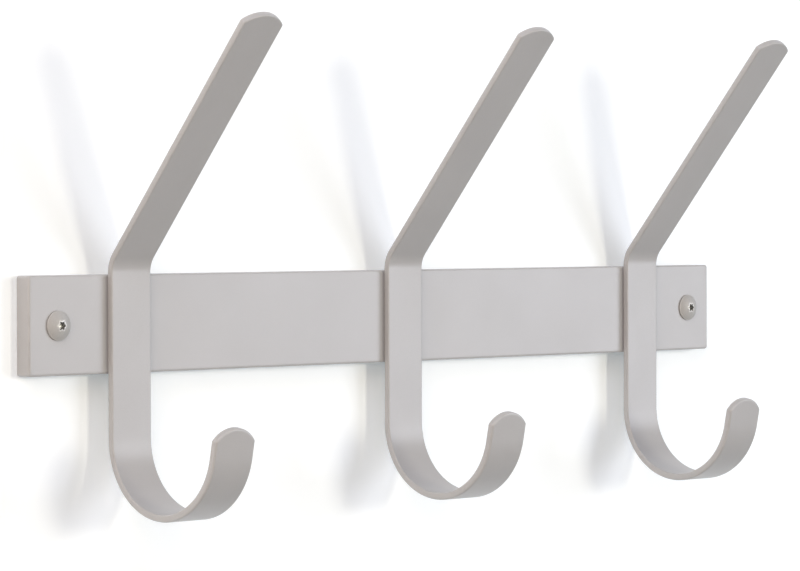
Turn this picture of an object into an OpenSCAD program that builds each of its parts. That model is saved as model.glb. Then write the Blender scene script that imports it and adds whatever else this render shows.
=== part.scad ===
// Wall hook rack: a flat steel bar on the wall, and three hooks bent from steel strip.
// Each hook has a long arm leaning up into the room and a J-shaped lower end.
// X runs along the bar, Y into the wall and Z up. The origin is the middle of the bar's back face.

/* [Bar] */
// Length of the bar
bar_l = 417; // [390:1:600]
// Height of the bar
bar_h = 40; // [38:1:45]
// Thickness of the bar
bar_t = 8; // [8:0.5:10]
// Radius along the bar's edges
bar_edge_r = 0.8; // [0.3:0.1:1.5]

/* [Hook strip] */
// Distance from one hook to the next
hook_pitch = 157.5; // [60:0.5:160]
// Width of the strip
strip_w = 20.8; // [14:0.1:28]
// Thickness of the strip
strip_t = 3; // [2.5:0.5:4]
// Radius along the strip's edges
strip_edge_r = 0.6; // [0.2:0.1:1]

/* [Upper arm] */
// Height of the bend's start above the middle of the bar
arm_start_z = 20.5; // [20:0.5:40]
// Inside radius of the bend
arm_bend_r = 10; // [4:0.5:20]
// Lean of the arm away from the wall, in degrees
arm_lean = 40; // [20:1:60]
// Length of the arm past its bend
arm_run = 122.5; // [60:0.5:160]
// Radius of the arched end
arm_end_r = 14.5; // [14.5:0.5:30]

/* [Lower J] */
// Drop from the middle of the bar to the start of the J
j_start_drop = 46; // [30:0.5:80]
// Inside radius of the J
j_bend_r = 29; // [15:0.5:40]
// Turn of the J, in degrees
j_turn = 169; // [120:1:180]
// Length of the straight end of the J
j_run = 12.5; // [6:0.5:30]
// Radius of the arched end
j_end_r = 13; // [13:0.5:30]

/* [Fixing of a hook] */
// Distance between the two studs of a hook
stud_pitch = 22; // [16:1:24]
// Diameter of a weld stud
stud_d = 4; // [3:1:5]
// Length of a weld stud
stud_l = 7.7; // [7:0.1:7.8]
// Thickness of the bar left under a nut
stud_web = 3.4; // [3:0.1:3.5]
// Diameter of the round pocket for a nut
nut_pocket_d = 11; // [10.5:0.5:13]
// Width across the flats of a nut
nut_flats = 7; // [6.5:0.5:8]
// Height of a nut
nut_h = 3.2; // [2.4:0.1:3.2]
// Outer diameter of a washer
washer_d = 9; // [8.5:0.5:10]
// Thickness of a washer
washer_t = 0.8; // [0.5:0.1:1]

/* [Wall screws] */
// Distance from the end of the bar to a wall screw
screw_inset = 15; // [10:0.5:20]
// Diameter of the domed head
head_d = 12; // [10:0.5:14]
// Height of the domed head
head_h = 3; // [2.5:0.1:4]
// Outer diameter of the wood thread
thread_d = 5; // [4:0.5:6]
// Length of the threaded part with its point
thread_l = 40; // [25:1:60]

/* [Hidden] */
// Roundness of circles
$fn = 96;
// Overlap of cutters past a face
cut = 1;
// How far a straight end of a hook reaches into its bend, and how much slimmer it is all round
fuse_l = 0.2;
fuse_slim = 0.01;

hook_names = ["left", "middle", "right"];
stud_names = ["upper", "lower"];
function hook_x(i) = (i - 1) * hook_pitch;
function stud_z(j) = (0.5 - j) * stud_pitch;

// The bar's hole for a stud, and the gap round a stud in its nut and washer
stud_hole_d = stud_d + 1;
nut_bore_d = stud_d + 0.2;
washer_bore_d = stud_d + 0.3;
nut_chamfer = 0.5;
stud_chamfer = 0.4;

// The wall screw: the upright edge of its head, a cone under the edge, a dome over it and a
// neck through the bar
edge_h = 0.3;
seat_h = 0.4;
seat_d = head_d - 1;
neck_d = thread_d - 1;
neck_past_bar = 0.5;
screw_hole_d = thread_d + 0.5;
point_l = 6;
tip_d = 0.6;
dome_h = head_h - edge_h - seat_h;
dome_r = (head_d * head_d / 4 + dome_h * dome_h) / (2 * dome_h);
screw_x = bar_l / 2 - screw_inset;

// Six-lobe recess of size 20: its outer and inner diameters and the radius between its lobes
lobe_outer_d = 3.95;
lobe_inner_d = 2.85;
lobe_gap_r = 0.86;
recess_depth = 2;

paint = [0.76, 0.755, 0.76];
copper = [0.72, 0.45, 0.33];
zinc = [0.62, 0.63, 0.65];

// A rectangle with round corners, centred
module round_rect(w, h, r) {
    square([w - 2 * r, h], center = true);
    square([w, h - 2 * r], center = true);
    for (x = [-1, 1], y = [-1, 1])
        translate([x * (w / 2 - r), y * (h / 2 - r)])
            circle(r);
}

// Turns a shape that stands on Z so that it points into the wall
module into_wall() {
    rotate([-90, 0, 0])
        children();
}

// ---- the bar ----

// The bar's block, round along all its edges, with its back face at y = 0
module bar_block() {
    translate([0, -bar_t / 2, 0])
        intersection() {
            rotate([90, 0, 90])
                linear_extrude(bar_l, center = true)
                    round_rect(bar_t, bar_h, bar_edge_r);
            linear_extrude(bar_h, center = true)
                round_rect(bar_l, bar_t, bar_edge_r);
            rotate([90, 0, 0])
                linear_extrude(bar_t, center = true)
                    round_rect(bar_l, bar_h, bar_edge_r);
        }
}

module back_bar() {
    color(paint)
        difference() {
            bar_block();
            for (x = [-screw_x, screw_x])
                translate([x, -bar_t - cut, 0])
                    into_wall()
                        cylinder(d = screw_hole_d, h = bar_t + 2 * cut);
            for (i = [0 : 2], j = [0 : 1])
                translate([hook_x(i), -bar_t, stud_z(j)])
                    into_wall() {
                        translate([0, 0, -cut])
                            cylinder(d = stud_hole_d, h = bar_t + 2 * cut);
                        translate([0, 0, stud_web])
                            cylinder(d = nut_pocket_d, h = bar_t);
                    }
        }
}

// ---- a hook ----
// It is drawn in its side view: X towards the wall, Y up and Z across the strip, with the
// strip's middle line at X = 0. place_hook() then stands it up on the bar.

module strip_section(slim = 0) {
    round_rect(strip_t - 2 * slim, strip_w - 2 * slim, strip_edge_r - slim);
}

// A straight stretch of strip along +Y
module strip_run(run, slim = 0) {
    rotate([-90, 0, 0])
        linear_extrude(run)
            strip_section(slim);
}

// A straight stretch whose far end is an arc of radius end_r across the strip. It starts a
// little inside the bend before it, and is slimmer all round by a hair, so that the two fuse.
module arched_run(run, end_r) {
    corner_y = run - end_r + sqrt(end_r * end_r - strip_w * strip_w / 4);
    difference() {
        translate([0, -fuse_l, 0])
            strip_run(run + fuse_l, fuse_slim);
        difference() {
            translate([-strip_t, corner_y, -strip_w])
                cube([2 * strip_t, end_r, 2 * strip_w]);
            translate([-strip_t - cut, run - end_r, 0])
                rotate([0, 90, 0])
                    cylinder(r = end_r, h = 2 * strip_t + 2 * cut);
        }
    }
}

// One end of a hook, going up from the origin: a bend away from the wall, then a straight run
module bent_end(bend_r, turn, run, end_r) {
    middle_r = bend_r + strip_t / 2;
    translate([-middle_r, 0, 0]) {
        rotate_extrude(angle = turn)
            translate([middle_r, 0])
                strip_section();
        rotate([0, 0, turn])
            translate([middle_r, 0, 0])
                arched_run(run, end_r);
    }
}

module hook_side_view() {
    translate([0, -j_start_drop, 0])
        strip_run(j_start_drop + arm_start_z);
    translate([0, arm_start_z, 0])
        bent_end(arm_bend_r, arm_lean, arm_run, arm_end_r);
    translate([0, -j_start_drop, 0])
        mirror([0, 1, 0])
            bent_end(j_bend_r, j_turn, j_run, j_end_r);
}

module place_hook(i) {
    translate([hook_x(i), -bar_t - strip_t / 2, 0])
        rotate([90, 0, 90])
            children();
}

module hook(i) {
    color(paint)
        place_hook(i)
            hook_side_view();
}

// ---- what holds a hook on the bar ----

// Puts a shape that stands on Z at the foot of a stud, on the back of the strip
module place_stud(i, j) {
    translate([hook_x(i), -bar_t, stud_z(j)])
        into_wall()
            children();
}

module stud(i, j) {
    color(copper)
        place_stud(i, j) {
            cylinder(d = stud_d, h = stud_l - stud_chamfer);
            translate([0, 0, stud_l - stud_chamfer])
                cylinder(d1 = stud_d, d2 = stud_d - 2 * stud_chamfer, h = stud_chamfer);
        }
}

module washer(i, j) {
    color(zinc)
        place_stud(i, j)
            translate([0, 0, stud_web])
                difference() {
                    cylinder(d = washer_d, h = washer_t);
                    translate([0, 0, -cut])
                        cylinder(d = washer_bore_d, h = washer_t + 2 * cut);
                }
}

// A hexagon nut: its corners are taken off by a cone at both ends
module nut(i, j) {
    corners_d = nut_flats / cos(30);
    color(zinc)
        place_stud(i, j)
            translate([0, 0, stud_web + washer_t])
                difference() {
                    intersection() {
                        cylinder(d = corners_d, h = nut_h, $fn = 6);
                        union() {
                            cylinder(d1 = nut_flats, d2 = corners_d, h = nut_chamfer);
                            translate([0, 0, nut_chamfer])
                                cylinder(d = corners_d, h = nut_h - 2 * nut_chamfer);
                            translate([0, 0, nut_h - nut_chamfer])
                                cylinder(d1 = corners_d, d2 = nut_flats, h = nut_chamfer);
                        }
                    }
                    translate([0, 0, -cut])
                        cylinder(d = nut_bore_d, h = nut_h + 2 * cut);
                }
}

// ---- wall screws ----
// Drawn along +Z from the head's top, at z = 0, to the point.

module six_lobe(depth) {
    linear_extrude(depth)
        difference() {
            circle(d = lobe_outer_d);
            for (k = [0 : 5])
                rotate(60 * k + 30)
                    translate([lobe_inner_d / 2 + lobe_gap_r, 0])
                        circle(lobe_gap_r);
        }
}

module screw_head() {
    difference() {
        intersection() {
            translate([0, 0, dome_r])
                sphere(dome_r);
            union() {
                cylinder(d = head_d, h = head_h - seat_h);
                translate([0, 0, head_h - seat_h])
                    cylinder(d1 = head_d, d2 = seat_d, h = seat_h);
            }
        }
        translate([0, 0, -cut])
            six_lobe(cut + recess_depth);
    }
}

module wall_screw(side) {
    neck_l = bar_t + neck_past_bar;
    color(zinc)
        translate([side * screw_x, -bar_t - head_h, 0])
            into_wall() {
                screw_head();
                translate([0, 0, head_h])
                    cylinder(d = neck_d, h = neck_l);
                translate([0, 0, head_h + neck_l])
                    cylinder(d = thread_d, h = thread_l - point_l);
                translate([0, 0, head_h + neck_l + thread_l - point_l])
                    cylinder(d1 = thread_d, d2 = tip_d, h = point_l);
            }
}

back_bar();
hook(0);  // hook_left
hook(1);  // hook_middle
hook(2);  // hook_right
wall_screw(-1);  // wall_screw_left
wall_screw(1);  // wall_screw_right
for (i = [0 : 2], j = [0 : 1]) {
    place = str(hook_names[i], "_", stud_names[j]);
    stud(i, j);
    washer(i, j);
    nut(i, j);
}
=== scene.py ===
"""Wall hook rack: the looks of the painted bar, its three bent hooks, its two wall screws and the
studs, washers and nuts behind it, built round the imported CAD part. All lengths are in metres."""

import math

import bmesh
import bpy
from mathutils import Matrix, Vector


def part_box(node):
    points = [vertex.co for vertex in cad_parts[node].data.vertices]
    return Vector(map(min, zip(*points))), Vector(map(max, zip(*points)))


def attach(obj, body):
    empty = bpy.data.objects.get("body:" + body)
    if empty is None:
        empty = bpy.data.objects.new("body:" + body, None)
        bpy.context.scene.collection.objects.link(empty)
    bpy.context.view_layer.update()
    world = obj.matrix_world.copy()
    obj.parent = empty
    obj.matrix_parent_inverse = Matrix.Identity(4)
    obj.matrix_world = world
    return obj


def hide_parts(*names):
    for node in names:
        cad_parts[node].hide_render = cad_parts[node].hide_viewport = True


MM = 0.001
SIDES = ("left", "middle", "right")
LEVELS = ("upper", "lower")

# The bar
BAR_CORNER_R = 1.2 * MM
BAR_EDGE_R = 0.9 * MM
SCREW_HOLE_D = 5.5 * MM
STUD_HOLE_D = 5.0 * MM
POCKET_D = 11.0 * MM
POCKET_DEPTH = 4.6 * MM
MOUTH_CHAMFER = 0.3 * MM
CUT = 1.0 * MM
HOLE_STEPS = 64
BAR_SHARP = math.radians(35)

# The bar's flat faces are cut into smaller ones before the holes are made: how far to each side
# of a hole's axis, and how far above and below the bar's middle
SLICE_GAP = 9 * MM
SLICE_Z = 4 * MM

# A hook's strip
STRIP_T = 3.0 * MM
FRONT_EDGE_R = 0.55 * MM
BACK_EDGE_R = 0.85 * MM
END_CORNER_R = 1.3 * MM
BEND_STEP = math.radians(3)
STRAIGHT_STEP = 8 * MM
COLUMNS = 8
EDGE_STEPS = 4
FLAT_MARGIN = 0.35 * MM
CORNER_STEPS = 5
ARC_STEPS = 12

# Each half of a hook in its side view: how far the straight leg goes from the middle of the bar,
# the radius of its bend at the strip's middle line, the bend's turn, the straight run after it,
# and the radius of the arc that the strip ends in
ARM = {
    "start": 20.5 * MM,
    "bend_r": 11.5 * MM,
    "turn": math.radians(40),
    "run": 122.5 * MM,
    "end_r": 14.5 * MM,
}
LOWER_J = {
    "start": 46 * MM,
    "bend_r": 30.5 * MM,
    "turn": math.radians(169),
    "run": 12.5 * MM,
    "end_r": 13 * MM,
}

# The wall screws, measured along their axis from the top of the head
HEAD_R = 6.0 * MM
HEAD_H = 3.0 * MM
DOME_H = 2.3 * MM
HEAD_EDGE_H = 0.3 * MM
HEAD_EDGE_R = 0.18 * MM
HEAD_EDGE_DEPTH = 0.75
HEAD_EDGE_STEPS = 3
SEAT_R = 5.5 * MM
HEAD_STEPS = 48
SCREW_SHARP = math.radians(50)

# The six-lobe recess. Its floor has rings at a share of the lobes' radius, each so much deeper
# than RECESS_DEPTH. Its wall has rings at a share of the radius plus so many metres, each so far
# under the dome, with its wear and painted highlight and with how bare of paint it is
RECESS_DEPTH = 2.0 * MM
RECESS_POINT = 0.3 * MM
RECESS_LIP = 0.24 * MM
RECESS_FLOOR = ((0.5, 0.15 * MM), (0.88, 0))
RECESS_WALL = (
    (0.96, 0, 0.3 * MM, 0, 1),
    (0.97, 0, 0.15 * MM, 0.6, 0.2),
    (1, 0.04 * MM, 0.03 * MM, 1, 0),
)
LOBE_OUTER_R = 1.975 * MM
LOBE_INNER_R = 1.36 * MM
LOBE_GAP_R = 0.86 * MM
DOME_SHARES = (0.12, 0.26, 0.42, 0.58, 0.74, 0.88, 1)

# The neck and the wood thread. The thread rises over RUN_IN pitches, and over the point its
# ridge goes down to POINT_RIDGE of its height
NECK_R = 2.0 * MM
NECK_FILLET = 0.4 * MM
NECK_END = 11.5 * MM
NECK_TAPER = 1.0 * MM
LAST_NECK_RING = NECK_END - 1.2 * MM
WOOD_PITCH = 2.5 * MM
WOOD_ROOT_R = 1.6 * MM
WOOD_CREST_R = 2.5 * MM
WOOD_ROWS = 24
RUN_IN = 1.5
POINT_L = 6.0 * MM
POINT_RIDGE = 0.1
TIP_R = 0.3 * MM
TIP_L = 0.3 * MM

# A thread's ridge across its pitch: half of its flat crest and half of its foot
RIDGE_CREST = 0.025
RIDGE_FOOT = 0.24

# The studs, washers and nuts in the bar's pockets
STUD_PITCH = 0.7 * MM
STUD_ROOT_R = 1.57 * MM
STUD_CREST_R = 2.0 * MM
STUD_CHAMFER = 0.4 * MM
STUD_STEPS = 36
STUD_ROWS = 12
NUT_FLATS = 7.0 * MM
NUT_FACE_SHARE = 0.95
NUT_SINK = 0.35 * MM
NUT_STEPS = 72
NUT_SHARP = math.radians(25)
NUT_BORE_R = 2.1 * MM
NUT_SLOPE = math.tan(math.radians(30))
WASHER_BORE_R = 2.15 * MM
WASHER_EDGE_R = 0.2 * MM

# The camera. Place and turns are from a fit to the edges in the photograph
CAMERA_PLACE = (-1.1042, -1.0964, 0.0409)
CAMERA_YAW = math.radians(45.405)
CAMERA_TILT = math.radians(-1.025)
CAMERA_ROLL = math.radians(-0.139)
CAMERA_LENS = 160.33
CAMERA_SENSOR = 36
CAMERA_REACH = 20

# The stage
FLOOR_Z = -0.45
FLOOR_R = 2.6
FLOOR_STEPS = 72
FLOOR_COLOUR = (0.42, 0.42, 0.42)
WALL_COLOUR = (0.9, 0.918, 0.935)
WALL_GLOW = (0.8, 0.91, 0.94, 1)
WALL_GLOW_STRENGTH = 0.195
WALL_GAP = 0.3 * MM
WALL_INSET = 1.5 * MM
WALL_HALF_L = 3
WALL_TOP = 2
ROOM_SEEN = 0.95
ROOM_LIGHT = 0.03

# Name, azimuth and elevation in degrees, distance, size, watts and colour of each light
LIGHTS = (
    ("front", 17.5, 7, 3.0, 0.55, 24, (1, 0.946, 0.8)),
    ("softbox", 47, 4, 3.0, 1.5, 42, (0.87, 0.905, 1)),
    ("warm_left", -60, 20, 2.4, 1.8, 33, (1, 0.827, 0.678)),
    ("high_left", -40, 60, 2.0, 1.5, 16, (0.8, 0.85, 1)),
    ("behind", 160, 30, 2.4, 1.8, 60, (1, 1, 1)),
)

# Colours of the object
PAINT = (0.426, 0.422, 0.424)
PAINT_SPREAD = 0.03
# How much paler the rounded edges of the bar and hooks are painted, partly as wear and partly as a
# painted highlight
EDGE_LIGHTER = 1.25
HEAD_PAINT = ((0.4, 0.395, 0.385), (0.45, 0.445, 0.435))
HEAD_ZINC = ((0.42, 0.42, 0.41), (0.6, 0.6, 0.58))
# The bright colour round the screw's recess and on its rim: partly worn paint, partly a painted
# highlight
HEAD_WORN_AND_HIGHLIGHT = (0.64, 0.64, 0.62)
COPPER = ((0.62, 0.34, 0.24), (0.8, 0.5, 0.37))
WASHER_ZINC = ((0.5, 0.51, 0.53), (0.72, 0.73, 0.76))
NUT_ZINC = ((0.46, 0.47, 0.5), (0.7, 0.71, 0.75))

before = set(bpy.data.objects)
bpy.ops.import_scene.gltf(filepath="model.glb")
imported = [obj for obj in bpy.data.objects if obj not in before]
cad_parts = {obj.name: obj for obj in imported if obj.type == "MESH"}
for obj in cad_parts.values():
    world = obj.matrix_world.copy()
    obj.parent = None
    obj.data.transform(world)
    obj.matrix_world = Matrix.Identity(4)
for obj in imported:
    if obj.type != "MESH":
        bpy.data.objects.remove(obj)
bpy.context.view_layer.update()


# ---- meshes ----


def mesh_object(name, points, faces, sharp_angle=None, closed=True, **values):
    """A piece with smooth shading, sharp only at edges over sharp_angle, and one float attribute
    for each list of values, one value for each point. The faces of a closed one turn outwards."""
    mesh = bpy.data.meshes.new(name)
    mesh.from_pydata([tuple(p) for p in points], [], faces)
    if closed:
        work = bmesh.new()
        work.from_mesh(mesh)
        bmesh.ops.recalc_face_normals(work, faces=work.faces)
        work.to_mesh(mesh)
        work.free()
    mesh.shade_smooth()
    if sharp_angle is not None:
        mesh.set_sharp_from_angle(angle=sharp_angle)
    for attribute, numbers in values.items():
        layer = mesh.attributes.new(attribute, "FLOAT", "POINT")
        layer.data.foreach_set("value", numbers)
    piece = bpy.data.objects.new(name, mesh)
    bpy.context.scene.collection.objects.link(piece)
    return piece


def rim_profile(thickness, front_r, back_r):
    """(inset, height, wear and highlight) from the front face over its edge, down the side and round to
    the back face. This mark is 1 in the middle of each rounded edge, where it stands for wear and a
    painted highlight, and 0 on the flats."""
    front, back = [], []
    for step in range(EDGE_STEPS + 1):
        turn = step / EDGE_STEPS * math.pi / 2
        inset, drop, wear = 1 - math.sin(turn), 1 - math.cos(turn), math.sin(2 * turn)
        front.append((front_r * inset, thickness / 2 - front_r * drop, wear))
        back.append((back_r * inset, -thickness / 2 + back_r * drop, wear))
    front.insert(0, (front_r + FLAT_MARGIN, thickness / 2, 0))
    back.insert(0, (back_r + FLAT_MARGIN, -thickness / 2, 0))
    return front + back[::-1]


def rim(outline, profile):
    """The rounded edge of a plate: points (along, across, height), their mark for wear and painted
    highlight, and the faces between the loops. The outline is closed and holds (along, across, normal,
    normal)."""
    points, wear, faces = [], [], []
    count = len(outline)
    for inset, height, worn_and_highlit in profile:
        for along, across, out_along, out_across in outline:
            points.append((along - inset * out_along, across - inset * out_across, height))
            wear.append(worn_and_highlit)
    for loop in range(len(profile) - 1):
        for i in range(count):
            a, b = loop * count + i, loop * count + (i + 1) % count
            faces.append((a, b, b + count, a + count))
    return points, wear, faces


def ladder(points, wear, faces, first, half):
    """Fills one face of a plate between the loop that starts at index first and itself, with
    rungs across and a fan at each end. half is the index of the far tip along the loop."""
    rungs = []
    for i in range(1, half):
        left, right = points[first + i], points[first + 2 * half - i]
        rung = [first + i]
        for k in range(1, COLUMNS):
            rung.append(len(points))
            points.append(tuple(a + (b - a) * k / COLUMNS for a, b in zip(left, right)))
            wear.append(0)
        rungs.append(rung + [first + 2 * half - i])
    for low, high in zip(rungs, rungs[1:]):
        for k in range(COLUMNS):
            faces.append((low[k], low[k + 1], high[k + 1], high[k]))
    for tip, rung in ((first, rungs[0]), (first + half, rungs[-1])):
        for k in range(COLUMNS):
            faces.append((tip, rung[k + 1], rung[k]))


def ring_faces(rings, count, wrap=False):
    """Faces between rings of the same count, with the first and last joined when wrap is set."""
    faces = []
    for ring in range(rings if wrap else rings - 1):
        after = (ring + 1) % rings
        for i in range(count):
            j = (i + 1) % count
            a, b = ring * count, after * count
            faces.append((a + i, a + j, b + j, b + i))
    return faces


def on_screw(origin, radius, turn, depth):
    """A point round an axis that runs into the wall from origin."""
    return origin + Vector((radius * math.cos(turn), depth, radius * math.sin(turn)))


def centre_of(node):
    """The middle of a CAD node's nearer face, where its axis starts, and its length along Y."""
    low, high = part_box(node)
    return Vector(((low.x + high.x) / 2, low.y, (low.z + high.z) / 2)), high.y - low.y


# ---- the hooks ----


def side_view(along):
    """The point of a hook's middle line that lies along metres up the strip from the middle of
    the bar, as (out from the leg, up), and the direction of its front face."""
    part, up = (ARM, 1) if along >= 0 else (LOWER_J, -1)
    distance = abs(along)
    straight = min(distance, part["start"])
    bend = min(max(distance - part["start"], 0), part["bend_r"] * part["turn"])
    run = max(distance - part["start"] - part["bend_r"] * part["turn"], 0)
    turn = bend / part["bend_r"]
    out = part["bend_r"] * (1 - math.cos(turn)) + run * math.sin(turn)
    height = straight + part["bend_r"] * math.sin(turn) + run * math.cos(turn)
    return (out, up * height), (math.cos(turn), -up * math.sin(turn))


def stations(part):
    """Distances from the middle of the bar at which one half of a hook has a rung."""
    places = []
    steps = math.ceil(part["start"] / STRAIGHT_STEP)
    places += [part["start"] * i / steps for i in range(steps)]
    steps = math.ceil(part["turn"] / BEND_STEP)
    bend_l = part["bend_r"] * part["turn"]
    places += [part["start"] + bend_l * i / steps for i in range(steps)]
    return places


def half_outline(part, half_w):
    """One half of the strip's outline on one side of its middle line, from the middle of the
    bar to the tip: along, across and the outward direction there."""
    tip = part["start"] + part["bend_r"] * part["turn"] + part["run"]
    arc_at = tip - part["end_r"]
    corner_across = half_w - END_CORNER_R
    corner_reach = math.sqrt((part["end_r"] - END_CORNER_R) ** 2 - corner_across**2)
    corner_at = arc_at + corner_reach
    run_at = part["start"] + part["bend_r"] * part["turn"]
    outline = [(place, half_w, 0, 1) for place in stations(part)]
    steps = math.ceil((corner_at - run_at) / STRAIGHT_STEP)
    outline += [(run_at + (corner_at - run_at) * i / steps, half_w, 0, 1) for i in range(steps)]
    meeting = math.atan2(corner_across, corner_reach)
    for step in range(CORNER_STEPS):
        turn = math.pi / 2 + (meeting - math.pi / 2) * step / CORNER_STEPS
        n = (math.cos(turn), math.sin(turn))
        outline.append((corner_at + END_CORNER_R * n[0], corner_across + END_CORNER_R * n[1], *n))
    for step in range(ARC_STEPS + 1):
        turn = meeting * (1 - step / ARC_STEPS)
        n = (math.cos(turn), math.sin(turn))
        outline.append((arc_at + part["end_r"] * n[0], part["end_r"] * n[1], *n))
    return outline


def build_hook(side):
    """A hook: a flat strip with rounded edges and arched ends, bent along its side view."""
    node = f"hook_{side}"
    low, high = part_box(node)
    middle_x, half_w = (low.x + high.x) / 2, (high.x - low.x) / 2
    leg_y = high.y - STRIP_T / 2
    upper = half_outline(ARM, half_w)
    lower = [(-along, across, -n, m) for along, across, n, m in half_outline(LOWER_J, half_w)]
    right = lower[:0:-1] + upper
    left = [(along, -across, n, -m) for along, across, n, m in right[-2:0:-1]]
    profile = rim_profile(STRIP_T, FRONT_EDGE_R, BACK_EDGE_R)
    points, wear, faces = rim(right + left, profile)
    count = len(right + left)
    for first in (0, (len(profile) - 1) * count):
        ladder(points, wear, faces, first, len(right) - 1)
    bent = []
    for along, across, height in points:
        (out, up), (face_out, face_up) = side_view(along)
        bent.append((middle_x + across, leg_y - out - height * face_out, up + height * face_up))
    piece = mesh_object(f"bent_hook_{side}", bent, faces, wear=wear)
    piece.data.materials.append(hook_paint)
    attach(piece, "root")
    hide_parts(node)


# ---- the bar ----


def bar_outline(half_l, half_h):
    """A closed rectangle with round corners: along, across and the outward direction."""
    outline = []
    for corner in range(4):
        along = (half_l - BAR_CORNER_R) * (1 if corner in (0, 3) else -1)
        across = (half_h - BAR_CORNER_R) * (1 if corner < 2 else -1)
        for step in range(CORNER_STEPS + 1):
            turn = (corner + step / CORNER_STEPS) * math.pi / 2
            n = (math.cos(turn), math.sin(turn))
            outline.append((along + BAR_CORNER_R * n[0], across + BAR_CORNER_R * n[1], *n))
    return outline


def slice_plate(piece, places_x, places_z):
    """Cuts the flat faces of a plate into smaller ones along planes of constant x and z."""
    work = bmesh.new()
    work.from_mesh(piece.data)
    planes = [((x, 0, 0), (1, 0, 0)) for x in places_x]
    planes += [((0, 0, z), (0, 0, 1)) for z in places_z]
    for point, normal in planes:
        geometry = work.verts[:] + work.edges[:] + work.faces[:]
        bmesh.ops.bisect_plane(work, geom=geometry, plane_co=point, plane_no=normal)
    work.to_mesh(piece.data)
    work.free()


def cutter(centre, profile):
    """A turned shape that takes a hole out of the bar. profile holds (radius, y)."""
    points = []
    for radius, y in profile:
        for i in range(HOLE_STEPS):
            turn = 2 * math.pi * i / HOLE_STEPS
            x = centre.x + radius * math.cos(turn)
            z = centre.z + radius * math.sin(turn)
            points.append((x, y, z))
    faces = ring_faces(len(profile), HOLE_STEPS)
    faces += [tuple(range(HOLE_STEPS)), tuple(range(len(points) - HOLE_STEPS, len(points)))]
    return mesh_object("cutter", points, faces)


def hole_profiles(front_y, back_y):
    """The holes for the wall screws and for the studs with their pockets, as (radius, y). Both
    are chamfered at the bar's back."""
    screw_r, stud_r, pocket_r = SCREW_HOLE_D / 2, STUD_HOLE_D / 2, POCKET_D / 2
    floor_y = back_y - POCKET_DEPTH
    mouth = [(0, back_y - MOUTH_CHAMFER), (MOUTH_CHAMFER + CUT, back_y + CUT)]
    screw = [(screw_r, front_y - CUT)] + [(screw_r + wider, y) for wider, y in mouth]
    stud = [(stud_r, front_y - CUT), (stud_r, floor_y), (pocket_r, floor_y)]
    stud += [(pocket_r + wider, y) for wider, y in mouth]
    return screw, stud


def build_bar():
    """The bar: a plate with rounded edges, cut through for the screws and studs."""
    low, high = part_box("back_bar")
    half_l, half_h = (high.x - low.x) / 2, (high.z - low.z) / 2
    middle = (low + high) / 2
    outline = bar_outline(half_l, half_h)
    profile = rim_profile(high.y - low.y, BAR_EDGE_R, BAR_EDGE_R)
    points, wear, faces = rim(outline, profile)
    count = len(outline)
    faces.append(tuple(range(count)))
    faces.append(tuple(range(len(points) - count, len(points))))
    placed = [
        (middle.x + along, middle.y - height, middle.z + across) for along, across, height in points
    ]
    piece = mesh_object("flat_bar", placed, faces, wear=wear)
    pierced = [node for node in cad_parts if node.startswith(("wall_screw", "stud"))]
    axes = sorted({round(centre_of(node)[0].x, 6) for node in pierced})
    slices = [x + side * SLICE_GAP for x in axes for side in (-1, 1)]
    slice_plate(piece, slices, (-SLICE_Z, SLICE_Z))
    screw, stud = hole_profiles(low.y, high.y)
    holes = [cutter(centre_of(f"wall_screw_{side}")[0], screw) for side in ("left", "right")]
    holes += [cutter(centre_of(f"stud_{side}_{level}")[0], stud) for side in SIDES for level in LEVELS]
    for hole in holes:
        cut = piece.modifiers.new("hole", "BOOLEAN")
        cut.object = hole
        cut.operation = "DIFFERENCE"
        cut.solver = "EXACT"
    bpy.context.view_layer.update()
    cut_piece = piece.evaluated_get(bpy.context.evaluated_depsgraph_get())
    shape = bpy.data.meshes.new_from_object(cut_piece)
    piece.modifiers.clear()
    piece.data = shape
    for hole in holes:
        bpy.data.objects.remove(hole)
    shape.shade_smooth()
    shape.set_sharp_from_angle(angle=BAR_SHARP)
    shape.materials.clear()
    shape.materials.append(bar_paint)
    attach(piece, "root")
    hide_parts("back_bar")


# ---- the wall screws ----


def lobe_radius(turn):
    """The radius of the six-lobe recess in a direction round the screw's axis."""
    gap = (math.degrees(turn) - 30) % 60
    gap = math.radians(min(gap, 60 - gap))
    centre = LOBE_INNER_R + LOBE_GAP_R
    inside = LOBE_GAP_R**2 - (centre * math.sin(gap)) ** 2
    if inside <= 0:
        return LOBE_OUTER_R
    return min(LOBE_OUTER_R, centre * math.cos(gap) - math.sqrt(inside))


def thread_height(phase):
    """The height of a thread's ridge, from 0 to 1, at a share of its pitch."""
    distance = abs(phase % 1 - 0.5)
    return min(1, max(0, (RIDGE_FOOT - distance) / (RIDGE_FOOT - RIDGE_CREST)))


def thread_rings(origin, start, end, pitch, radii, steps, rows, taper):
    """Rings of a thread from start to end along its axis, with rows of them to each turn.
    taper gives the share of the ridge and of the root's radius left at a place."""
    rings = []
    root, crest = radii
    count = round((end - start) / pitch * rows)
    for row in range(count + 1):
        place = start + (end - start) * row / count
        ridge, body = taper(place)
        for i in range(steps):
            turn = 2 * math.pi * i / steps
            height = thread_height((place - start) / pitch - i / steps)
            radius = root * body + (crest - root) * height * ridge
            rings.append(on_screw(origin, radius, turn, place))
    return rings, count + 1


def split_quads(faces, start):
    """The same faces with every quad from index start on split the way the thread climbs."""
    split = list(faces[:start])
    for a, b, c, d in faces[start:]:
        split += [(a, b, c), (a, c, d)]
    return split


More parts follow.
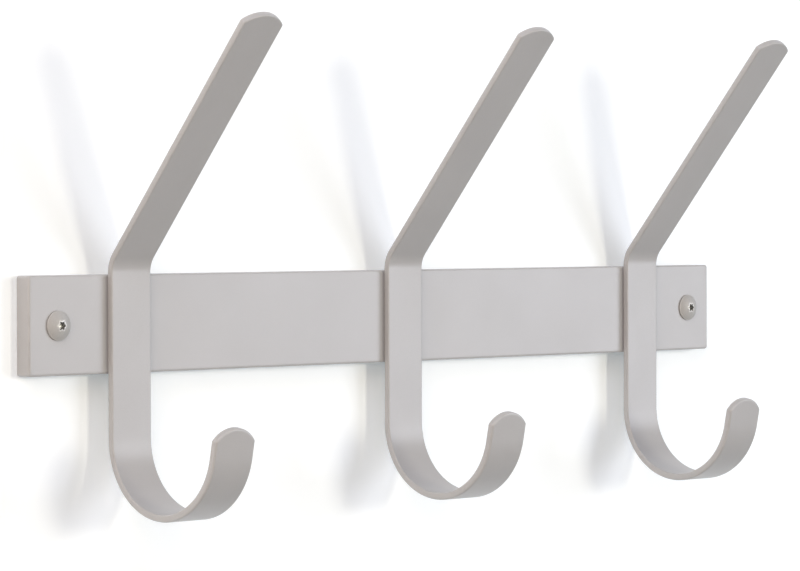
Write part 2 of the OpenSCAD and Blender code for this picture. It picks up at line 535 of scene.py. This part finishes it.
def screw_head_rings(origin):
    """The screw's head from the floor of its recess out over the dome and under to the neck.
    Each ring comes with its wear and painted highlight and with how bare of paint it is."""
    dome_r = (HEAD_R**2 + DOME_H**2) / (2 * DOME_H)
    angles = [2 * math.pi * i / HEAD_STEPS for i in range(HEAD_STEPS)]

    def on_dome(radius):
        return dome_r - math.sqrt(dome_r**2 - radius**2)

    rings = []

    def ring(radii, depths, wear, bare):
        points = [on_screw(origin, r, a, d) for r, a, d in zip(radii, angles, depths)]
        rings.append((points, wear, bare))

    lobes = [lobe_radius(a) for a in angles]
    for share, deeper in RECESS_FLOOR:
        ring([r * share for r in lobes], [RECESS_DEPTH + deeper] * HEAD_STEPS, 0, 1)
    for share, wider, under, wear, bare in RECESS_WALL:
        ring([r * share + wider for r in lobes], [on_dome(r) + under for r in lobes], wear, bare)
    # The lip round the recess gets the bright mark: partly worn paint, partly a painted highlight
    for lips, wear in ((1, 1), (2, 0.5)):
        radii = [r + lips * RECESS_LIP for r in lobes]
        ring(radii, [on_dome(r) for r in radii], wear, 0)
    outer = HEAD_R - HEAD_EDGE_R
    for share in DOME_SHARES:
        radii = [r + 2 * RECESS_LIP + (outer - r - 2 * RECESS_LIP) * share for r in lobes]
        ring(radii, [on_dome(r) for r in radii], 0, 0)
    edge_at = on_dome(outer) + HEAD_EDGE_R * HEAD_EDGE_DEPTH
    for step in range(1, HEAD_EDGE_STEPS + 1):
        turn = step / HEAD_EDGE_STEPS * math.pi / 2
        radius = outer + HEAD_EDGE_R * math.sin(turn)
        depth = edge_at - HEAD_EDGE_R * HEAD_EDGE_DEPTH * math.cos(turn)
        ring([radius] * HEAD_STEPS, [depth] * HEAD_STEPS, 0.6, 0)
    under_head = (
        (HEAD_R, DOME_H + HEAD_EDGE_H, 0.3, 0),
        (SEAT_R, HEAD_H, 0, 0),
        (NECK_R + NECK_FILLET, HEAD_H, 0, 1),
        (NECK_R, HEAD_H + NECK_FILLET, 0, 1),
        (NECK_R, LAST_NECK_RING, 0, 1),
    )
    for radius, depth, wear, bare in under_head:
        ring([radius] * HEAD_STEPS, [depth] * HEAD_STEPS, wear, bare)
    return rings


def build_wall_screw(side):
    """A dome-head wood screw with a six-lobe recess, a plain neck and a pointed thread."""
    node = f"wall_screw_{side}"
    origin, length = centre_of(node)
    rings = screw_head_rings(origin)
    points = [origin + Vector((0, RECESS_DEPTH + RECESS_POINT, 0))]
    wear, bare = [0], [1]
    for ring, worn_and_highlit, unpainted in rings:
        points += ring
        wear += [worn_and_highlit] * HEAD_STEPS
        bare += [unpainted] * HEAD_STEPS

    def taper(place):
        run_in = min(1, (place - NECK_END) / (RUN_IN * WOOD_PITCH))
        left = min(1, (length - place) / POINT_L)
        body = TIP_R / WOOD_ROOT_R + (1 - TIP_R / WOOD_ROOT_R) * left
        neck = max(0, 1 - (place - NECK_END) / NECK_TAPER) * (NECK_R / WOOD_ROOT_R - 1)
        return min(run_in, POINT_RIDGE + (1 - POINT_RIDGE) * left), body + neck

    radii = (WOOD_ROOT_R, WOOD_CREST_R)
    thread, count = thread_rings(
        origin, NECK_END, length - TIP_L, WOOD_PITCH, radii, HEAD_STEPS, WOOD_ROWS, taper
    )
    points += thread
    wear += [0] * len(thread)
    bare += [1] * len(thread)
    faces = ring_faces(len(rings) + count, HEAD_STEPS)
    faces = split_quads(faces, len(rings) * HEAD_STEPS)
    faces = [tuple(i + 1 for i in face) for face in faces]
    faces += [(0, 1 + i, 1 + (i + 1) % HEAD_STEPS) for i in range(HEAD_STEPS)]
    last = len(points) - HEAD_STEPS
    faces += [(len(points), last + (i + 1) % HEAD_STEPS, last + i) for i in range(HEAD_STEPS)]
    points.append(origin + Vector((0, length, 0)))
    wear.append(0)
    bare.append(1)
    piece = mesh_object(f"dome_head_screw_{side}", points, faces, SCREW_SHARP, wear=wear, bare=bare)
    piece.data.materials.append(screw_steel)
    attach(piece, "root")
    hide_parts(node)


# ---- the studs, washers and nuts ----


def build_stud(place):
    """A threaded weld stud, thinner at its free end."""
    node = f"stud_{place}"
    origin, length = centre_of(node)

    def taper(at):
        left = min(1, (length - at) / STUD_CHAMFER)
        return left, 0.9 + 0.1 * left

    radii = (STUD_ROOT_R, STUD_CREST_R)
    points, count = thread_rings(
        origin, 0, length, STUD_PITCH, radii, STUD_STEPS, STUD_ROWS, taper
    )
    faces = split_quads(ring_faces(count, STUD_STEPS), 0)
    faces += [tuple(range(STUD_STEPS)), tuple(range(len(points) - STUD_STEPS, len(points)))]
    piece = mesh_object(f"weld_stud_{place}", points, faces, SCREW_SHARP)
    piece.data.materials.append(stud_copper)
    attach(piece, "root")
    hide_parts(node)


def build_washer(place):
    """A stamped washer, rounded along its four edges."""
    node = f"washer_{place}"
    low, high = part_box(node)
    origin, height = centre_of(node)
    outer = (high.x - low.x) / 2
    r = WASHER_EDGE_R
    slope = r * (1 - math.sqrt(0.5))
    profile = [
        (WASHER_BORE_R, height - r),
        (WASHER_BORE_R + slope, height - slope),
        (WASHER_BORE_R + r, height),
        (outer - r, height),
        (outer - slope, height - slope),
        (outer, height - r),
        (outer, r),
        (outer - slope, slope),
        (outer - r, 0),
        (WASHER_BORE_R + r, 0),
        (WASHER_BORE_R + slope, slope),
        (WASHER_BORE_R, r),
    ]
    points = []
    for radius, depth in profile:
        for i in range(HOLE_STEPS):
            points.append(on_screw(origin, radius, 2 * math.pi * i / HOLE_STEPS, depth))
    faces = ring_faces(len(profile), HOLE_STEPS, True)
    piece = mesh_object(f"flat_washer_{place}", points, faces, SCREW_SHARP)
    piece.data.materials.append(washer_zinc)
    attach(piece, "root")
    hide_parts(node)


def hex_radius(turn):
    """The radius of the nut's outline in a direction, with a corner along +X."""
    return NUT_FLATS / 2 / math.cos(math.radians(math.degrees(turn) % 60 - 30))


def build_nut(place):
    """A hexagon nut with its corners taken off at both ends and a countersunk bore."""
    node = f"nut_{place}"
    origin, height = centre_of(node)
    flat_r = NUT_FLATS / 2 * NUT_FACE_SHARE
    points = []
    angles = [2 * math.pi * i / NUT_STEPS for i in range(NUT_STEPS)]
    outer = [hex_radius(a) for a in angles]

    def ring(radii, depths):
        for r, a, d in zip(radii, angles, depths):
            points.append(on_screw(origin, r, a, d))

    ring([NUT_BORE_R] * NUT_STEPS, [NUT_SINK] * NUT_STEPS)
    ring([NUT_BORE_R] * NUT_STEPS, [height - NUT_SINK] * NUT_STEPS)
    ring([NUT_BORE_R + NUT_SINK] * NUT_STEPS, [height] * NUT_STEPS)
    ring([flat_r] * NUT_STEPS, [height] * NUT_STEPS)
    ring(outer, [height - (r - flat_r) * NUT_SLOPE for r in outer])
    ring(outer, [(r - flat_r) * NUT_SLOPE for r in outer])
    ring([flat_r] * NUT_STEPS, [0] * NUT_STEPS)
    ring([NUT_BORE_R + NUT_SINK] * NUT_STEPS, [0] * NUT_STEPS)
    faces = ring_faces(len(points) // NUT_STEPS, NUT_STEPS, True)
    piece = mesh_object(f"hex_nut_{place}", points, faces, NUT_SHARP)
    piece.data.materials.append(nut_zinc)
    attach(piece, "root")
    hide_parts(node)


# ---- materials ----


class Material:
    """A material with one Principled shader, and short calls for the nodes that drive it."""

    def __init__(self, name, **sockets):
        self.material = bpy.data.materials.new(name)
        self.material.use_nodes = True
        self.nodes = self.material.node_tree.nodes
        self.links = self.material.node_tree.links
        self.shader = self.nodes["Principled BSDF"]
        for socket, value in sockets.items():
            self.shader.inputs[socket.replace("_", " ")].default_value = value
        self.place = self.nodes.new("ShaderNodeTexCoord").outputs["Object"]

    def link(self, source, target):
        self.links.new(source, target)

    def noise(self, size, detail=2.0, stretch=(1, 1, 1)):
        """Noise from 0 to 1 with features of that size in metres, longer where stretch is over 1."""
        mapping = self.nodes.new("ShaderNodeMapping")
        mapping.inputs["Scale"].default_value = [1 / (size * s) for s in stretch]
        self.link(self.place, mapping.inputs["Vector"])
        noise = self.nodes.new("ShaderNodeTexNoise")
        noise.inputs["Scale"].default_value = 1
        noise.inputs["Detail"].default_value = detail
        self.link(mapping.outputs["Vector"], noise.inputs["Vector"])
        return noise.outputs["Fac"]

    def attribute(self, name):
        """A float attribute of the mesh."""
        node = self.nodes.new("ShaderNodeAttribute")
        node.attribute_name = name
        return node.outputs["Fac"]

    def scaled(self, value, low, high, start=0.0, end=1.0):
        """value between start and end, mapped to low and high."""
        node = self.nodes.new("ShaderNodeMapRange")
        self.link(value, node.inputs["Value"])
        for name, number in (("From Min", start), ("From Max", end), ("To Min", low), ("To Max", high)):
            node.inputs[name].default_value = number
        return node.outputs["Result"]

    def calc(self, kind, a, b):
        """Blender's Math node on two values, either of them a number."""
        node = self.nodes.new("ShaderNodeMath")
        node.operation = kind
        for socket, value in zip(node.inputs, (a, b)):
            if isinstance(value, (int, float)):
                socket.default_value = value
            else:
                self.link(value, socket)
        return node.outputs["Value"]

    def mixed(self, factor, a, b):
        """Colour a where factor is 0 and colour b where it is 1; each a colour or a socket."""
        node = self.nodes.new("ShaderNodeMix")
        node.data_type = "RGBA"
        self.link(factor, node.inputs["Factor"])
        for socket, value in ((node.inputs["A"], a), (node.inputs["B"], b)):
            if isinstance(value, tuple):
                socket.default_value = (*value, 1)
            else:
                self.link(value, socket)
        return node.outputs["Result"]

    def bump(self, layers):
        """Raises the surface by each (height from 0 to 1, its metres) in turn."""
        before = None
        for height, metres in layers:
            node = self.nodes.new("ShaderNodeBump")
            node.inputs["Strength"].default_value = 1
            node.inputs["Distance"].default_value = metres
            self.link(height, node.inputs["Height"])
            if before is not None:
                self.link(before, node.inputs["Normal"])
            before = node.outputs["Normal"]
        self.link(before, self.shader.inputs["Normal"])


def powder_coat(name, colour, grain):
    """Satin powder coat: fine orange peel, faint mottling and a smoother edge, painted paler partly as
    wear and partly as a painted highlight.
    grain is how far the faint rolling marks of the steel under it stretch along each axis."""
    m = Material(name, Metallic=0.0, IOR=1.5)
    light = tuple(c * (1 + PAINT_SPREAD) for c in colour)
    dark = tuple(c * (1 - PAINT_SPREAD) for c in colour)
    worn_and_highlit = tuple(min(1, c * EDGE_LIGHTER) for c in colour)
    cloud = m.scaled(m.noise(30 * MM, 3), 0, 1, 0.3, 0.7)
    speck = m.scaled(m.noise(0.35 * MM, 1), 0, 1, 0.35, 0.65)
    mottle = m.calc("ADD", m.calc("MULTIPLY", cloud, 0.5), m.calc("MULTIPLY", speck, 0.5))
    # The rounded edges are painted paler, partly as wear and partly as a painted highlight along them
    wear = m.calc("MULTIPLY", m.attribute("wear"), m.scaled(m.noise(6 * MM, 3), 0, 1, 0.4, 0.6))
    tint = m.mixed(mottle, dark, light)
    m.link(m.mixed(m.calc("MULTIPLY", wear, 0.35), tint, worn_and_highlit), m.shader.inputs["Base Color"])
    smear = m.scaled(m.noise(18 * MM, 3), 0.35, 0.38, 0.3, 0.7)
    m.link(m.calc("SUBTRACT", smear, m.calc("MULTIPLY", wear, 0.1)), m.shader.inputs["Roughness"])
    m.bump([
        (m.noise(2.2 * MM, 2, grain), 6e-6),
        (m.noise(0.9 * MM, 1), 8e-6),
        (m.noise(0.22 * MM, 1), 3e-6),
    ])
    return m.material


def screw_finish():
    """Paint on the head, painted bright round its recess and on its rim, partly as worn paint and
    partly as a painted highlight, and zinc in the recess and on the shank.
    """
    m = Material("screw_steel", IOR=1.5)
    bare = m.attribute("bare")
    wear = m.calc("MULTIPLY", m.attribute("wear"), m.scaled(m.noise(0.8 * MM, 2), 0.5, 1, 0.3, 0.7))
    speck = m.scaled(m.noise(0.3 * MM, 2), 0, 1, 0.3, 0.7)
    paint = m.mixed(speck, *HEAD_PAINT)
    zinc = m.mixed(speck, *HEAD_ZINC)
    # The bright ring on the head is partly worn paint and partly a painted highlight
    head = m.mixed(wear, paint, HEAD_WORN_AND_HIGHLIGHT)
    m.link(m.mixed(bare, head, zinc), m.shader.inputs["Base Color"])
    m.link(m.calc("MAXIMUM", bare, m.calc("MULTIPLY", wear, 0.3)), m.shader.inputs["Metallic"])
    m.link(m.scaled(m.noise(1.5 * MM, 3), 0.3, 0.48, 0.3, 0.7), m.shader.inputs["Roughness"])
    m.bump([(m.noise(0.7 * MM, 1), 8e-6), (m.noise(0.2 * MM, 1), 3e-6)])
    return m.material


def plated(name, dark, light, rough):
    """Plated steel: cloudy colour and roughness with fine drawn scratches."""
    m = Material(name, Metallic=1.0)
    cloud = m.scaled(m.noise(1.2 * MM, 4), 0, 1, 0.3, 0.7)
    m.link(m.mixed(cloud, dark, light), m.shader.inputs["Base Color"])
    smear = m.scaled(m.noise(0.8 * MM, 4), rough - 0.08, rough + 0.1, 0.3, 0.7)
    m.link(smear, m.shader.inputs["Roughness"])
    m.bump([(m.noise(0.15 * MM, 2), 4e-6), (m.noise(0.06 * MM, 1, (8, 1, 1)), 2e-6)])
    return m.material


bar_paint = powder_coat("bar_paint", PAINT, (12, 1, 1))
hook_paint = powder_coat("hook_paint", PAINT, (1, 8, 8))
screw_steel = screw_finish()
stud_copper = plated("stud_copper", *COPPER, 0.34)
washer_zinc = plated("washer_zinc", *WASHER_ZINC, 0.32)
nut_zinc = plated("nut_zinc", *NUT_ZINC, 0.36)


# ---- the pieces ----

build_bar()
for hook_side in SIDES:
    build_hook(hook_side)
for screw_side in ("left", "right"):
    build_wall_screw(screw_side)
for hook_side in SIDES:
    for level_name in LEVELS:
        build_stud(f"{hook_side}_{level_name}")
        build_washer(f"{hook_side}_{level_name}")
        build_nut(f"{hook_side}_{level_name}")


# ---- the stage ----


def plane(name, corners, material):
    """A flat sheet of the stage."""
    sheet = mesh_object(name, corners, [tuple(range(len(corners)))], closed=False)
    sheet.data.materials.append(material)


def pale(name, colour, **sockets):
    """Plain matt studio paint."""
    m = Material(name, Roughness=0.9, IOR=1.3, **sockets)
    cloud = m.scaled(m.noise(0.4, 2), 0, 1, 0.3, 0.7)
    m.link(m.mixed(cloud, tuple(c * 0.99 for c in colour), colour), m.shader.inputs["Base Color"])
    return m


def open_from_behind(m):
    """Makes the wall clear from behind, so that the rack's back can be looked at too."""
    side = m.nodes.new("ShaderNodeNewGeometry")
    clear = m.nodes.new("ShaderNodeBsdfTransparent")
    mix = m.nodes.new("ShaderNodeMixShader")
    m.link(side.outputs["Backfacing"], mix.inputs["Fac"])
    m.link(m.shader.outputs["BSDF"], mix.inputs[1])
    m.link(clear.outputs["BSDF"], mix.inputs[2])
    m.link(mix.outputs["Shader"], m.nodes["Material Output"].inputs["Surface"])
    return m


def area_light(name, place, size, power, colour):
    """A soft square light that faces the rack."""
    light = bpy.data.lights.new(name, "AREA")
    light.size = size
    light.energy = power
    light.color = colour
    lamp = bpy.data.objects.new(name, light)
    lamp.location = place
    lamp.visible_camera = False
    lamp.rotation_euler = (-place).to_track_quat("-Z", "Y").to_euler()
    bpy.context.scene.collection.objects.link(lamp)


def build_wall(material):
    """The wall round the bar, open behind it so that light reaches its back."""
    low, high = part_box("back_bar")

    def corners(x0, x1, z0, z1):
        return [(x0, z0), (x1, z0), (x1, z1), (x0, z1)]

    outer = corners(-WALL_HALF_L, WALL_HALF_L, FLOOR_Z, WALL_TOP)
    inner = corners(
        low.x + WALL_INSET, high.x - WALL_INSET, low.z + WALL_INSET, high.z - WALL_INSET
    )
    points = [(x, high.y - WALL_GAP, z) for x, z in outer + inner]
    faces = [(i, (i + 1) % 4, (i + 1) % 4 + 4, i + 4) for i in range(4)]
    wall = mesh_object("wall", points, faces, closed=False)
    wall.data.materials.append(material)


def direction(azimuth, elevation):
    """The direction of a light seen from the rack: azimuth 0 is straight in front of it, 90 is
    towards +X, on the right of who looks at its front, and 180 is behind it."""
    turn, rise = math.radians(azimuth), math.radians(elevation)
    x, y, z = math.sin(turn) * math.cos(rise), -math.cos(turn) * math.cos(rise), math.sin(rise)
    return Vector((x, y, z))


def build_world():
    """A white room for the camera, which lights the rack only faintly."""
    world = bpy.data.worlds.new("studio")
    bpy.context.scene.world = world
    world.use_nodes = True
    nodes, links = world.node_tree.nodes, world.node_tree.links
    nodes["Background"].inputs["Color"].default_value = (1, 1, 1, 1)
    path = nodes.new("ShaderNodeLightPath")
    strength = nodes.new("ShaderNodeMapRange")
    strength.inputs["To Min"].default_value = ROOM_LIGHT
    strength.inputs["To Max"].default_value = ROOM_SEEN
    links.new(path.outputs["Is Camera Ray"], strength.inputs["Value"])
    links.new(strength.outputs["Result"], nodes["Background"].inputs["Strength"])


def build_stage():
    """A round floor, a wall with the bar's opening in it, the room and the lights."""
    middle = Vector((0, 0, FLOOR_Z))
    turns = [360 / FLOOR_STEPS * i for i in range(FLOOR_STEPS)]
    floor = [middle + direction(turn, 0) * FLOOR_R for turn in turns]
    plane("floor", floor, pale("floor_pale", FLOOR_COLOUR).material)
    wall = pale(
        "wall_pale", WALL_COLOUR, Emission_Color=WALL_GLOW, Emission_Strength=WALL_GLOW_STRENGTH
    )
    build_wall(open_from_behind(wall).material)
    build_world()
    for name, azimuth, elevation, distance, size, power, colour in LIGHTS:
        area_light(name, direction(azimuth, elevation) * distance, size, power, colour)


def build_camera():
    """The camera, where the photograph was taken from."""
    data = bpy.data.cameras.new("camera")
    data.sensor_width = CAMERA_SENSOR
    data.lens = CAMERA_LENS
    data.clip_end = CAMERA_REACH
    camera = bpy.data.objects.new("camera", data)
    turn = Matrix.Rotation(-CAMERA_YAW, 4, "Z") @ Matrix.Rotation(math.pi / 2 + CAMERA_TILT, 4, "X")
    camera.matrix_world = Matrix.Translation(CAMERA_PLACE) @ turn @ Matrix.Rotation(CAMERA_ROLL, 4, "Z")
    bpy.context.scene.collection.objects.link(camera)
    bpy.context.scene.camera = camera


build_stage()
build_camera()
bpy.context.scene.view_settings.view_transform = "Standard"
